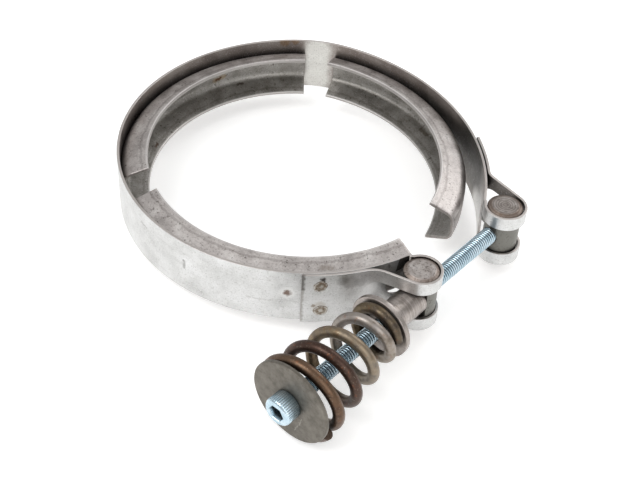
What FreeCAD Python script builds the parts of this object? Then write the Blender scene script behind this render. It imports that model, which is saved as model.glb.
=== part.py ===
"""Exhaust clamp: a V-band clamp with a spring-loaded closing screw, in millimetres.

The ring's axis is Z and its middle plane is Z = 0. The closing screw runs along +Y beside the ring.
"""
import FreeCAD, Part
import math
import os

Vector = FreeCAD.Vector
UP = Vector(0, 0, 1)
ALONG = Vector(0, 1, 0)

# Strip that the band is made of, and the ring that it is rolled to
strip_width = 22.0
strip_t = 1.0
ring_r = 66.7            # inside of the strip, round the front and left segments
ring_centre = Vector(0, 0, 0)

# The slack clamp: the strip bends sharper at one gap and lies over the shifted right segment
gap_bend_r = 45.0        # middle of the strip, in the gap between the left and right segments
seat_shift = Vector(-6.0, -7.8, 0)
seat_extra_r = 3.6       # how much wider the strip's arc is over the right segment
flat_extra_r = 10.5      # how much flatter again it is on its way to the nut loop

# Trunnion pins
pin_r = 6.15
nut_pin_r = 6.3
pin_height = 22.5
pin_chamfer = 1.55       # how much smaller the flat end face's radius is
pin_chamfer_h = 0.9
front_pin_y = -21.5
nut_pin_y = 24.4
front_pin_play = -0.4    # how far the front pin sits off the screw, in its loose hole
nut_pin_offset = 1.0     # how far the nut pin's thread is off its middle
pin_hole_r = 3.5         # cross hole of the front pin
pin_flat = 2.9           # from the front pin's axis to its milled flat
flat_margin = 0.25       # how far the flat reaches past the sleeve, each way

# Loops at the strip's ends
loop_clearance = 0.1
nut_loop_clearance = 0.35
nut_loop_shift = Vector(0.12, 0.1, 0)
crimp_r = 1.2            # middle of the strip in the crimp beside each pin
front_step = 1.36        # how far the crimp sets the strip outwards
nut_step = 0.5
front_crimp = 150.0      # where round each pin its loop starts, in degrees
nut_crimp = 208.0
front_merge = 16.6688    # along the ring, from its nearest place to the pin to where the end meets it
nut_merge = 17.0754
front_lap_end = 37.1938  # and to where the folded end stops
nut_lap_end = 36.657
front_fold_r = 10.0      # bend that lays the folded end back on the ring
nut_fold_r = 5.0
front_lap_gap = 0.15
nut_lap_gap = 0.4
shortest_piece = 0.01    # shorter ends of a path are left off

# Windows through the loops, for the screw and its sleeve
window_r = 5.7           # half the window's height, and the radius of its ends
window_reach = 7.6       # past the crimp, along the ring

# Spot welds that hold the folded ends
weld_r = 2.3
front_welds = [(31.095, 6.0), (30.6258, -5.3)]  # along the ring from the pin, and height
nut_welds = [(28.1433, 5.5), (28.1433, -5.5)]

# V-section segments
sheet_t = 1.3
base_half = 2.6          # half the flat at the bottom of the V
section_bend_r = 4.0     # outside of the bend
leg_slope = 17.0         # how far each leg leans outwards, in degrees
section_depth = 9.9
weld_gap = 0.05
front_span = (-113.0, -12.6)
left_span = (131.0, 235.5)
right_span = (16.5, 113.0)

# Screw, M6
screw_r = 3.0
screw_length = 110.0
head_r = 5.0
head_length = 6.0
head_bevel = 0.6
socket_across = 5.0
socket_depth = 3.0
tip_bevel = 0.8
head_face_y = -86.5      # underside of the head
thread_clearance = 0.05
washer_r = 15.0
washer_t = 1.6
washer_hole_r = 3.3
washer_sag = 0.25        # how far the washer hangs down on the screw

# Flanged sleeve
sleeve_r = 5.35
sleeve_bore_r = 3.4
flange_r = 11.5
flange_t = 2.0
flange_y = -43.1         # face that the spring presses on
edge_bevel = 0.3

# Conical spring
wire_r = 1.95
spring_big_r = 13.9      # middle of the wire, at the washer
spring_small_r = 8.3     # middle of the wire, at the flange
spring_turns = 4.9
spring_first_top = 0.67  # turns from the wire's end at the washer to the first pass over the top
spring_flat_start = 0.32  # turns that lie flat on the washer
spring_flat_end = 0.33   # turns that lie flat on the flange
spring_ramp = 0.5        # turns over which the pitch grows, and shrinks again
spring_seat_gap = 0.1
spring_big_shift = Vector(0.6, 0, -0.8)
spring_small_shift = Vector(0.7, 0, 1.0)
rings_per_turn = 20      # circles that its wire is laid through

# Sizes that follow from the ones above
mid_r = ring_r + strip_t / 2
loop_r = pin_r + loop_clearance + strip_t / 2
nut_loop_r = nut_pin_r + nut_loop_clearance + strip_t / 2
front_pin_x = math.sqrt((mid_r + loop_r + front_step) ** 2 - front_pin_y ** 2)
screw_x = front_pin_x - front_pin_play
front_axis = Vector(front_pin_x, front_pin_y, 0)
nut_axis = Vector(screw_x + nut_pin_offset, nut_pin_y, 0)
nut_loop_centre = nut_axis + nut_loop_shift
seat_centre = ring_centre + seat_shift
seat_r = mid_r + seat_extra_r
flat_r = seat_r + flat_extra_r


def polar(centre, radius, degrees):
    """Point at an angle and a distance from a centre."""
    turn = math.radians(degrees)
    return centre + Vector(radius * math.cos(turn), radius * math.sin(turn), 0)


def bearing(start, end):
    """Direction from one point to another, in degrees."""
    return math.degrees(math.atan2(end.y - start.y, end.x - start.x))


def unwrap(start, end, turn):
    """The end angle, made larger than the start for a left turn and smaller for a right turn."""
    return start + turn * ((turn * (end - start)) % 360.0)


def crossing(centre_a, radius_a, centre_b, radius_b, side):
    """Where two circles cross. Side 1 is left of the line from a to b, and -1 is right of it."""
    apart = centre_b - centre_a
    distance = apart.Length
    along = (distance ** 2 + radius_a ** 2 - radius_b ** 2) / (2 * distance)
    across = math.sqrt(radius_a ** 2 - along ** 2)
    forward = apart / distance
    left = Vector(-forward.y, forward.x, 0)
    return centre_a + forward * along + left * (side * across)


class Bend:
    """An arc of the strip's middle line."""

    def __init__(self, centre, radius, start, end):
        self.centre = centre
        self.radius = radius
        self.start = start
        self.end = end
        self.turn = 1 if end > start else -1
        self.length = radius * math.radians(abs(end - start))

    def angle(self, distance):
        return self.start + self.turn * math.degrees(distance / self.radius)

    def at(self, distance, shift=0.0):
        """Point along the arc, moved sideways to the left of the way it runs."""
        return polar(self.centre, self.radius - self.turn * shift, self.angle(distance))

    def edge(self, shift):
        ends = (self.at(0, shift), self.at(self.length / 2, shift), self.at(self.length, shift))
        return Part.Arc(*ends).toShape()

    def part(self, begin, finish):
        return Bend(self.centre, self.radius, self.angle(begin), self.angle(finish))

    def back(self):
        return Bend(self.centre, self.radius, self.end, self.start)


class Run:
    """A straight of the strip's middle line."""

    def __init__(self, start, end):
        self.start = start
        self.end = end
        self.length = (end - start).Length

    def at(self, distance, shift=0.0):
        """Point along the straight, moved sideways to the left of the way it runs."""
        forward = (self.end - self.start) / self.length
        left = Vector(-forward.y, forward.x, 0)
        return self.start + forward * distance + left * shift

    def edge(self, shift):
        return Part.makeLine(self.at(0, shift), self.at(self.length, shift))

    def part(self, begin, finish):
        return Run(self.at(begin), self.at(finish))

    def back(self):
        return Run(self.end, self.start)


def clip(path, begin, finish):
    """The pieces of a path between two distances from its start."""
    kept = []
    covered = 0.0
    for piece in path:
        low = max(begin - covered, 0.0)
        high = min(finish - covered, piece.length)
        if high > low + shortest_piece:
            kept.append(piece.part(low, high))
        covered += piece.length
    return kept


def path_length(path):
    return sum(piece.length for piece in path)


def ribbon(path, thickness, half_height):
    """Solid ribbon on a path: the path's outline on both sides, closed at its ends and extruded."""
    half = thickness / 2
    first = path[0]
    last = path[-1]
    sides = [piece.edge(shift) for shift in (half, -half) for piece in path]
    start_cap = Part.makeLine(first.at(0, half), first.at(0, -half))
    end_cap = Part.makeLine(last.at(last.length, half), last.at(last.length, -half))
    outline = Part.Wire(Part.__sortEdges__(sides + [start_cap, end_cap]))
    face = Part.Face(outline)
    face.translate(Vector(0, 0, -half_height))
    return face.extrude(Vector(0, 0, 2 * half_height))


def past_pin(arc_centre, arc_r, pin_centre, distance):
    """Direction of the place on the ring that is a distance past the pin, left-handed if positive."""
    return bearing(arc_centre, pin_centre) + math.degrees(distance / arc_r)


def looped_end(arc_centre, arc_r, loop_centre, radius, turn, crimp, step_fold, merge, lap_end, lap_gap):
    """The strip from the ring's crimp, round a pin, and back to its end on the outside of the ring.

    turn is -1 where the loop runs clockwise and 1 where it runs the other way. The crimp is two
    small arcs, one against the ring's own arc and one against the loop. The merge and the end of the
    lap are distances along the ring from the pin.
    """
    second = polar(loop_centre, radius + crimp_r, crimp)
    first = crossing(arc_centre, arc_r + crimp_r, second, 2 * crimp_r, turn)
    start = bearing(first, arc_centre)
    inward = Bend(first, crimp_r, start, unwrap(start, bearing(first, second), turn))
    start = bearing(second, first)
    outward = Bend(second, crimp_r, start, unwrap(start, bearing(second, loop_centre), -turn))
    lap_r = arc_r + strip_t + lap_gap
    merge_at = past_pin(arc_centre, arc_r, loop_centre, turn * merge)
    fold = polar(arc_centre, lap_r + step_fold, merge_at)
    lean = math.degrees(math.asin((radius + step_fold) / (fold - loop_centre).Length))
    heading = bearing(loop_centre, fold) + turn * lean
    loop = Bend(loop_centre, radius, crimp, unwrap(crimp, heading - turn * 90, turn))
    start = heading + turn * 90
    laying = Bend(fold, step_fold, start, unwrap(start, merge_at + 180, -turn))
    leg = Run(loop.at(loop.length), laying.at(0))
    lap = Bend(arc_centre, lap_r, merge_at, past_pin(arc_centre, arc_r, loop_centre, turn * lap_end))
    return [inward, outward, loop, leg, laying, lap]


def window(path, begin, finish):
    """Cutter for a slot with round ends, between two distances along the strip."""
    cut_t = strip_t + front_lap_gap
    cutter = ribbon(clip(path, begin + window_r, finish - window_r), cut_t, window_r)
    for edge, centre in ((begin, begin + window_r), (finish, finish - window_r)):
        low, high = sorted((edge, centre))
        tongue = ribbon(clip(path, low, high), cut_t, window_r)
        spot = clip(path, centre, centre + strip_t)[0]
        across = spot.at(0, window_r) - spot.at(0, -window_r)
        drill = Part.makeCylinder(window_r, across.Length, spot.at(0, -window_r), across)
        cutter = cutter.fuse(tongue.common(drill))
    return cutter


def band():
    """The strip: looped, windowed and crimped at both ends, and welded back on itself."""
    flat_centre = crossing(seat_centre, flat_extra_r, nut_loop_centre, flat_r + nut_loop_r + nut_step, -1)
    gap_centre = crossing(ring_centre, mid_r - gap_bend_r, seat_centre, seat_r - gap_bend_r, -1)
    front = looped_end(ring_centre, mid_r, front_axis, loop_r, -1, front_crimp, front_fold_r,
                       front_merge, front_lap_end, front_lap_gap)
    nut = looped_end(flat_centre, flat_r, nut_loop_centre, nut_loop_r, 1, nut_crimp, nut_fold_r,
                     nut_merge, nut_lap_end, nut_lap_gap)
    start = bearing(ring_centre, front[0].centre)
    ring = Bend(ring_centre, mid_r, start, unwrap(start, bearing(ring_centre, gap_centre), -1))
    start = bearing(ring_centre, gap_centre)
    gap = Bend(gap_centre, gap_bend_r, start, unwrap(start, bearing(seat_centre, gap_centre), -1))
    start = bearing(seat_centre, gap_centre)
    seat = Bend(seat_centre, seat_r, start, unwrap(start, bearing(flat_centre, seat_centre), -1))
    start = bearing(flat_centre, seat_centre)
    flat = Bend(flat_centre, flat_r, start, unwrap(start, bearing(flat_centre, nut[0].centre), -1))
    front_back = [piece.back() for piece in reversed(front)]
    path = front_back + [ring, gap, seat, flat] + nut
    body = ribbon(path, strip_t, strip_width / 2)
    ring_start = path_length(front_back)
    ring_end = path_length(path) - path_length(nut)
    body = body.cut(window(path, front[-1].length, ring_start + window_reach))
    body = body.cut(window(path, ring_end - window_reach, path_length(path) - nut[-1].length))
    for distance, height in front_welds:
        degrees = past_pin(ring_centre, mid_r, front_axis, -distance)
        body = body.fuse(weld(ring_centre, mid_r, front_lap_gap, degrees, height))
    for distance, height in nut_welds:
        degrees = past_pin(flat_centre, flat_r, nut_loop_centre, distance)
        body = body.fuse(weld(flat_centre, flat_r, nut_lap_gap, degrees, height))
    return body.removeSplitter()


def weld(centre, radius, gap_t, degrees, height):
    """Nugget between the ring and its folded end, sunk half a strip into each."""
    foot = polar(centre, radius, degrees) + Vector(0, 0, height)
    out = polar(Vector(0, 0, 0), 1, degrees)
    return Part.makeCylinder(weld_r, strip_t + gap_t, foot, out)


def v_segment(centre, base_r, span):
    """Sheet rolled to a V section, from its outline in a plane through the ring's axis."""
    inner_r = section_bend_r - sheet_t
    lean = math.radians(90 - leg_slope)
    tip_r = base_r - section_depth
    bend_middle = Vector(base_r - section_bend_r, 0, base_half)

    def bend_point(radius, turn):
        return bend_middle + Vector(radius * math.cos(turn), 0, radius * math.sin(turn))

    def tip_point(radius):
        foot = bend_point(radius, lean)
        rise = (foot.x - tip_r) * math.tan(math.radians(leg_slope))
        return Vector(tip_r, 0, foot.z + rise)

    upper = []
    for radius in (section_bend_r, inner_r):
        points = [bend_point(radius, turn) for turn in (0, lean / 2, lean)]
        upper.append(Part.Arc(*points).toShape())
        upper.append(Part.makeLine(points[2], tip_point(radius)))
    upper.append(Part.makeLine(tip_point(section_bend_r), tip_point(inner_r)))
    lower = [edge.mirror(Vector(0, 0, 0), UP) for edge in upper]
    flats = []
    for radius in (section_bend_r, inner_r):
        top = bend_point(radius, 0)
        flats.append(Part.makeLine(top, Vector(top.x, 0, -top.z)))
    face = Part.Face(Part.Wire(Part.__sortEdges__(upper + lower + flats)))
    solid = face.revolve(Vector(0, 0, 0), UP, span[1] - span[0])
    solid.rotate(Vector(0, 0, 0), UP, span[0])
    solid.translate(centre)
    return solid


def turned(points, base, direction):
    """Solid of revolution from (radius, distance along the axis) points."""
    profile = Part.makePolygon([Vector(r, 0, d) for r, d in points + points[:1]])
    solid = Part.Face(profile).revolve(Vector(0, 0, 0), UP, 360)
    solid.Placement = FreeCAD.Placement(base, FreeCAD.Rotation(UP, direction))
    return solid


def trunnion(axis, radius):
    """Plain pin with chamfered ends, standing across the strip."""
    half = pin_height / 2
    side = half - pin_chamfer_h
    face_r = radius - pin_chamfer
    points = [(0, -half), (face_r, -half), (radius, -side), (radius, side), (face_r, half), (0, half)]
    return turned(points, axis, UP)


def front_pin():
    """Pin with a cross hole that the screw runs through, and a flat that the sleeve sits on."""
    solid = trunnion(front_axis, pin_r)
    hole = Part.makeCylinder(pin_hole_r, 2 * pin_r, front_axis - ALONG * pin_r, ALONG)
    half = sleeve_r + flat_margin
    corner = front_axis + Vector(-pin_r, -pin_r - pin_flat, -half)
    pocket = Part.makeBox(2 * pin_r, pin_r, 2 * half, corner)
    return solid.cut(hole).cut(pocket)


def nut_pin():
    """Pin with the cross thread that the screw turns in."""
    bore_r = screw_r + thread_clearance
    mouth = Vector(screw_x, nut_pin_y - nut_pin_r, 0)
    bore = Part.makeCylinder(bore_r, 2 * nut_pin_r, mouth, ALONG)
    return trunnion(nut_axis, nut_pin_r).cut(bore)


def flanged_sleeve():
    """Tube from the front pin's flat to the flange that the spring presses on."""
    length = front_pin_y - pin_flat - flange_y
    points = [(sleeve_bore_r, 0), (flange_r - edge_bevel, 0), (flange_r, edge_bevel),
              (flange_r, flange_t - edge_bevel), (flange_r - edge_bevel, flange_t),
              (sleeve_r, flange_t), (sleeve_r, length - edge_bevel),
              (sleeve_r - edge_bevel, length), (sleeve_bore_r, length)]
    return turned(points, Vector(screw_x, flange_y, 0), ALONG)


def washer():
    """Flat washer between the screw's head and the spring."""
    points = [(washer_hole_r, 0), (washer_r - edge_bevel, 0), (washer_r, edge_bevel),
              (washer_r, washer_t - edge_bevel), (washer_r - edge_bevel, washer_t),
              (washer_hole_r, washer_t)]
    return turned(points, Vector(screw_x, head_face_y, -washer_sag), ALONG)


def screw():
    """Socket-head screw. Its thread is left plain here, at the thread's outside size."""
    points = [(0, -head_length), (head_r - head_bevel, -head_length),
              (head_r, head_bevel - head_length), (head_r, 0), (screw_r, 0),
              (screw_r, screw_length - tip_bevel), (screw_r - tip_bevel, screw_length),
              (0, screw_length)]
    solid = turned(points, Vector(screw_x, head_face_y, 0), ALONG)
    corner_r = socket_across / 2 / math.cos(math.radians(30))
    corners = [polar(Vector(0, 0, 0), corner_r, 60 * step) for step in range(7)]
    socket = Part.Face(Part.makePolygon(corners)).extrude(UP * socket_depth)
    mouth = Vector(screw_x, head_face_y - head_length, 0)
    socket.Placement = FreeCAD.Placement(mouth, FreeCAD.Rotation(UP, ALONG))
    return solid.cut(socket)


def risen(turn):
    """Height of the spring's wire after some turns, in turns of its full pitch."""
    def ramp(past):
        if past < spring_ramp:
            return max(past, 0.0) ** 2 / (2 * spring_ramp)
        return past - spring_ramp / 2
    return ramp(turn - spring_flat_start) - ramp(turn - spring_turns + spring_flat_end + spring_ramp)


def wire_point(turn):
    """Middle of the spring's wire after some turns from its end at the washer."""
    start_y = head_face_y + washer_t + spring_seat_gap + wire_r
    end_y = flange_y - spring_seat_gap - wire_r
    share = risen(turn) / risen(spring_turns)
    radius = spring_big_r + (spring_small_r - spring_big_r) * share
    angle = 2 * math.pi * (turn - spring_first_top)
    shift = spring_big_shift * (1 - share) + spring_small_shift * share
    middle = Vector(screw_x, start_y + (end_y - start_y) * share, 0) + shift
    return middle + Vector(radius * math.sin(angle), 0, radius * math.cos(angle))


def wire_ring(turn):
    """Circle round the wire, square to it, that starts on the side towards the flange."""
    step = 0.001
    forward = (wire_point(turn + step) - wire_point(turn - step)).normalize()
    up = (ALONG - forward * ALONG.dot(forward)).normalize()
    side = forward.cross(up)
    centre = wire_point(turn)
    ring = Part.makeCircle(wire_r)
    ring.Placement = FreeCAD.Placement(FreeCAD.Matrix(up.x, side.x, forward.x, centre.x,
                                                      up.y, side.y, forward.y, centre.y,
                                                      up.z, side.z, forward.z, centre.z,
                                                      0, 0, 0, 1))
    return ring


def conical_spring():
    """Round wire on a cone, with a flat turn at each end, as a skin of short tapered pieces."""
    steps = round(spring_turns * rings_per_turn)
    rings = [wire_ring(spring_turns * step / steps) for step in range(steps + 1)]
    skin = [Part.makeRuledSurface(start, end) for start, end in zip(rings, rings[1:])]
    caps = [Part.Face(Part.Wire(ring)) for ring in (rings[0], rings[-1])]
    shell = Part.makeShell([face for surface in skin + caps for face in surface.Faces])
    shell.sewShape()
    solid = Part.makeSolid(shell)
    if solid.Volume < 0:
        solid.reverse()
    return solid


pieces = {
    "band": band,
    "v_segment_front": lambda: v_segment(ring_centre, ring_r - weld_gap, front_span),
    "v_segment_left": lambda: v_segment(ring_centre, ring_r - weld_gap, left_span),
    "v_segment_right": lambda: v_segment(seat_centre, seat_r - strip_t / 2 - weld_gap, right_span),
    "front_pin": front_pin,
    "nut_pin": nut_pin,
    "flanged_sleeve": flanged_sleeve,
    "washer": washer,
    "screw": screw,
    "conical_spring": conical_spring,
}

os.makedirs("parts", exist_ok=True)
for name, make in pieces.items():
    shape = make()
    print(name, "valid", shape.isValid(), "solids", len(shape.Solids), "volume", round(shape.Volume, 1))
    shape.exportStep("parts/" + name + ".step")
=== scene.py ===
# %% [markdown]
# # A V-band exhaust clamp, dressed for its picture
# The CAD part gives every solid its size and place. This script keeps those places, and gives each
# piece the surface that the real one has: rolled strip, turned steel, tempered spring wire and plated
# thread. Lengths are written in millimetres and turned to metres where a mesh is made.

# %% Load the frame
import math

import bmesh
import bpy
import numpy as np
from mathutils import Matrix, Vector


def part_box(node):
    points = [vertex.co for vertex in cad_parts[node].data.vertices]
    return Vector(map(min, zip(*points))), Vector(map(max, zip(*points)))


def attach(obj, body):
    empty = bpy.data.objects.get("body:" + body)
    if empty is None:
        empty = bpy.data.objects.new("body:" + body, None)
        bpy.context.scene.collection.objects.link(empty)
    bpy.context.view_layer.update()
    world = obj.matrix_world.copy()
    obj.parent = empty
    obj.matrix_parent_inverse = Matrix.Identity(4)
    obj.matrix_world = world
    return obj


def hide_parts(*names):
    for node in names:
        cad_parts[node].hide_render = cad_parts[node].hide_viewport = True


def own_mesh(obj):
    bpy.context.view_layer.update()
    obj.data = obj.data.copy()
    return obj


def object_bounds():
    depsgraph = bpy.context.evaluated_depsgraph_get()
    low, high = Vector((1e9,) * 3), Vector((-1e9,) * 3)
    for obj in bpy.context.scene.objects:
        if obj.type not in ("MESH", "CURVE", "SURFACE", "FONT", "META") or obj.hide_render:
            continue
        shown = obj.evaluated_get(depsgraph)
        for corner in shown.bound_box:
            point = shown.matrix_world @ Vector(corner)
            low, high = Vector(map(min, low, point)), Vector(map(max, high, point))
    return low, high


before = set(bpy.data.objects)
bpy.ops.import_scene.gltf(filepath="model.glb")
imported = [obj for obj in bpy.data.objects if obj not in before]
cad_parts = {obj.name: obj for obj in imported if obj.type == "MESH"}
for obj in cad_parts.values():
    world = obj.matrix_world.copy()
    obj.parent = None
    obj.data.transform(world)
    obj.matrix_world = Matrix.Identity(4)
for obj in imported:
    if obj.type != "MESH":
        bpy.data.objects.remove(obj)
cad_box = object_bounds()
MM = 0.001
TURN = 2 * math.pi
print("CAD nodes:", sorted(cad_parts))

# %% [markdown]
# ## The camera
# The photograph looks down on the clamp from its screw side. The lens and the place come from lines
# on the object: the ring's rims, the pins' ends and the screw.

# %% The camera
IMAGE_WIDTH = 640
FOCAL_PIXELS = 1231.8
SENSOR_MM = 36.0

camera_data = bpy.data.cameras.new("camera")
camera_data.sensor_width = SENSOR_MM
camera_data.lens = FOCAL_PIXELS * SENSOR_MM / IMAGE_WIDTH
camera_data.clip_start = 0.01
camera = bpy.data.objects.new("camera", camera_data)
bpy.context.scene.collection.objects.link(camera)
bpy.context.scene.camera = camera
right = np.array([0.749544, 0.660298, 0.046802])
up = np.array([-0.477314, 0.490131, 0.729344])
back = np.array([0.458645, -0.569015, 0.682544])
camera_place = np.eye(4)
camera_place[:3, :3] = np.array([right, up, back]).T
camera_place[:3, 3] = (0.228675, -0.270243, 0.293834)
camera.matrix_world = Matrix(camera_place.tolist())
print("lens", round(camera_data.lens, 2), "mm")

# %% [markdown]
# ## Helpers for materials
# Colours are written as sRGB hex, as a paint program shows them, and Blender wants linear light. One
# function turns them. Another adds a node with its settings and links in one line. A finish is then
# built in layers, as dirt and wear are: each stain lies where some pattern has a value. Some of the
# layers are painted shade, painted highlights and painted reflections.

# %% Helpers for materials


def linear(hex_colour):
    """sRGB hex to linear RGBA: below 0.04045 divide by 12.92, above it raise (c + 0.055) / 1.055 to 2.4."""
    srgb = np.array([int(hex_colour[i:i + 2], 16) / 255 for i in (1, 3, 5)])
    light = np.where(srgb <= 0.04045, srgb / 12.92, ((srgb + 0.055) / 1.055) ** 2.4)
    return (*light.tolist(), 1.0)


def add(tree, kind, inputs=(), output=0, stops=(), **settings):
    """Adds a node with its settings and links, and returns one of its outputs. An input takes a value or
    another node's output. A colour ramp takes its stops as (place, hex colour)."""
    made = tree.nodes.new(kind)
    for name, value in settings.items():
        setattr(made, name, value)
    for name, value in dict(inputs).items():
        if isinstance(value, bpy.types.NodeSocket):
            tree.links.new(value, made.inputs[name])
        else:
            made.inputs[name].default_value = value
    for _ in range(len(stops) - 2):
        made.color_ramp.elements.new(1.0)
    for number, (place, colour) in enumerate(stops):
        made.color_ramp.elements[number].position = place
        made.color_ramp.elements[number].color = linear(colour)
    return made.outputs[output] if len(made.outputs) else made


def metal(name, metallic, roughness):
    """A new metal. Returns the material, its tree, the shader and the place on the object."""
    material = bpy.data.materials.new(name)
    material.use_nodes = True
    tree = material.node_tree
    shader = tree.nodes["Principled BSDF"]
    shader.inputs["Metallic"].default_value = metallic
    shader.inputs["Roughness"].default_value = roughness
    return material, tree, shader, add(tree, "ShaderNodeTexCoord", output="Object")


# %% Layers of colour


def speckle(tree, place, size_mm, detail=2.0, roughness=0.6):
    """Soft noise whose lumps are about size_mm across, or one size along each axis."""
    size = np.broadcast_to(size_mm, 3)
    spaced = add(tree, "ShaderNodeMapping", {"Vector": place, "Scale": (1 / (size * MM)).tolist()})
    return add(tree, "ShaderNodeTexNoise", {"Vector": spaced, "Scale": 1.0, "Detail": detail,
                                            "Roughness": roughness})


def stain(tree, base, value, low, high, share, colour):
    """Lays a colour over the base: none where a value is at low, the full share where it is at high."""
    amount = add(tree, "ShaderNodeMapRange", {"Value": value, "From Min": low, "From Max": high,
                                              "To Max": share})
    return add(tree, "ShaderNodeMix", {0: amount, 6: base, 7: linear(colour)}, 2, data_type="RGBA")


def painted_corner_shade(tree, base, reach_mm, unshaded, full, share, colour):
    """Paints shade into corners and between parts as a darker colour: how open a place is to the sky,
    within a reach, goes from the value with no painted shade to the value with the full share."""
    sky = add(tree, "ShaderNodeAmbientOcclusion", {"Distance": reach_mm * MM}, "AO", samples=8)
    return stain(tree, base, sky, unshaded, full, share, colour)


# %% Single marks, painted spots of light and shade, and scratches
RAGGED_LUMPS = 1.1
RAGGED_REACH = 1.6
SPOT_CORE, LINE_CORE = 0.6, 0.4


def ragged(tree, place):
    """The place moved by noise, so that what is drawn there has a ragged outline: the noise less its mean
    of a half, times the reach in mm. It moves a place by about half a millimetre."""
    noise = add(tree, "ShaderNodeTexNoise", {"Vector": place, "Scale": 1 / (RAGGED_LUMPS * MM),
                                             "Detail": 3.0}, "Color")
    noise = add(tree, "ShaderNodeVectorMath", {0: noise, 1: (0.5, 0.5, 0.5)}, operation="SUBTRACT")
    return add(tree, "ShaderNodeVectorMath", {0: noise, 1: (RAGGED_REACH * MM,) * 3, 2: place},
               operation="MULTIPLY_ADD")


def marks_and_painted_spots(tree, base, place, spots):
    """Single marks, and spots of painted light and shade: a stain round each spot of (x, y, z, size, share,
    colour) in mm. It is full in the spot's core and fades out at its size."""
    bent = ragged(tree, place)
    for x, y, z, size, share, colour in spots:
        away = add(tree, "ShaderNodeVectorMath", {0: bent, 1: (x * MM, y * MM, z * MM)}, "Value",
                   operation="DISTANCE")
        base = stain(tree, base, away, size * MM, SPOT_CORE * size * MM, share, colour)
    return base


def lines(tree, base, place, strokes):
    """Scratches, seams and streaks: a stain along each stroke of (start, end, width, share, colour) in mm.
    The nearest point of a stroke is its start plus its direction times how far along it the place is."""
    bent = ragged(tree, place)
    for start, end, width, share, colour in strokes:
        start, run = np.array(start) * MM, (np.array(end) - np.array(start)) * MM
        length = float(np.linalg.norm(run))
        way = (run / length).tolist()
        off = add(tree, "ShaderNodeVectorMath", {0: bent, 1: start.tolist()}, operation="SUBTRACT")
        along = add(tree, "ShaderNodeVectorMath", {0: off, 1: way}, "Value", operation="DOT_PRODUCT")
        along = add(tree, "ShaderNodeMapRange", {"Value": along, "From Max": length, "To Max": length})
        near = add(tree, "ShaderNodeVectorMath", {0: way, "Scale": along}, operation="SCALE")
        away = add(tree, "ShaderNodeVectorMath", {0: off, 1: near}, "Value", operation="DISTANCE")
        base = stain(tree, base, away, width * MM, LINE_CORE * width * MM, share, colour)
    return base


# %% [markdown]
# ## Helpers for meshes
# A shape is a grid of points: a function of two parameters, worked out as whole arrays. Quads join
# each point to its neighbours. Doubled points at seams and poles are merged, so the mesh closes.

# %% Helpers for meshes
MERGE = 1e-7


def grid_faces(rows, columns):
    """Quads of a grid whose points are numbered row by row."""
    corner = np.arange(rows * columns).reshape(rows, columns)
    faces = np.stack([corner[:-1, :-1], corner[1:, :-1], corner[1:, 1:], corner[:-1, 1:]], axis=-1)
    return faces.reshape(-1, 4)


def new_piece(name, points_mm, faces, body, sharp_degrees, material, measures=None):
    """Mesh object from points in mm and faces, merged, shaded smooth up to an angle, on its CAD body. Each
    measure is a number for every point, which the material reads by its name."""
    mesh = bpy.data.meshes.new(name)
    mesh.from_pydata((np.asarray(points_mm).reshape(-1, 3) * MM).tolist(), [], np.asarray(faces).tolist())
    for measure, values in (measures or {}).items():
        written = mesh.attributes.new(measure, "FLOAT", "POINT")
        written.data.foreach_set("value", np.asarray(values, np.float32).ravel())
    close_mesh(mesh, sharp_degrees)
    piece = bpy.data.objects.new(name, mesh)
    bpy.context.scene.collection.objects.link(piece)
    mesh.materials.append(material)
    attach(piece, body)
    print(name, len(mesh.polygons), "faces")
    return piece


def close_mesh(mesh, sharp_degrees):
    """Merges doubled points, drops faces without area and turns all faces outwards."""
    work = bmesh.new()
    work.from_mesh(mesh)
    bmesh.ops.remove_doubles(work, verts=work.verts, dist=MERGE)
    bmesh.ops.dissolve_degenerate(work, edges=work.edges, dist=MERGE)
    bmesh.ops.recalc_face_normals(work, faces=work.faces)
    work.to_mesh(mesh)
    work.free()
    mesh.polygons.foreach_set("use_smooth", np.ones(len(mesh.polygons), bool))
    mesh.set_sharp_from_angle(angle=math.radians(sharp_degrees))


# %% A copy of a solid with its edges rounded


def bevelled_copy(name, node, width_mm, sharp_degrees, material):
    """The CAD node's own shape with its sharp edges rounded, as sheared and turned edges are."""
    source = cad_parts[node].data
    points = np.empty(len(source.vertices) * 3, np.float32)
    source.vertices.foreach_get("co", points)
    corners = np.empty(len(source.polygons) * 3, np.int32)
    source.polygons.foreach_get("vertices", corners)
    piece = new_piece(name, points / MM, corners.reshape(-1, 3), "clamp", sharp_degrees, material)
    edge = piece.modifiers.new("rounded_edges", "BEVEL")
    edge.width = width_mm * MM
    edge.segments = 2
    edge.limit_method = "ANGLE"
    edge.angle_limit = math.radians(sharp_degrees)
    edge.use_clamp_overlap = False
    edge.harden_normals = True
    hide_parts(node)
    return piece


# %% [markdown]
# ## Light, floor and background
# The photograph is a catalogue picture: even light and a white ground. A large key lamp in front, a
# fill from the right and a lamp behind give soft shading. The world is white to the camera. Gloss sees a
# plain room, white low down and light grey above, because metal takes its look from what it mirrors.

# %% The world
WORLD_FILL = 0.6
scene = bpy.context.scene
scene.view_settings.view_transform = "Standard"
world = bpy.data.worlds.new("studio")
scene.world = world
world.use_nodes = True
tree = world.node_tree
tree.nodes.clear()
path = add(tree, "ShaderNodeLightPath", output="Is Camera Ray").node.outputs
seen = add(tree, "ShaderNodeMath", {0: path["Is Camera Ray"], 1: path["Is Transmission Ray"]},
           operation="MAXIMUM")
way = add(tree, "ShaderNodeTexCoord", output="Generated")
height = add(tree, "ShaderNodeSeparateXYZ", {"Vector": way}, "Z")
height = add(tree, "ShaderNodeMapRange", {"Value": height, "From Min": -1.0, "From Max": 1.0})
room = add(tree, "ShaderNodeValToRGB", {"Fac": height}, stops=[
    (0.0, "#FFFFFF"), (0.52, "#FFFFFF"), (0.57, "#B4B4B4"), (0.63, "#C8C8C8"), (0.78, "#C8C8C8"),
    (1.0, "#DCDCDC")])
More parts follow.
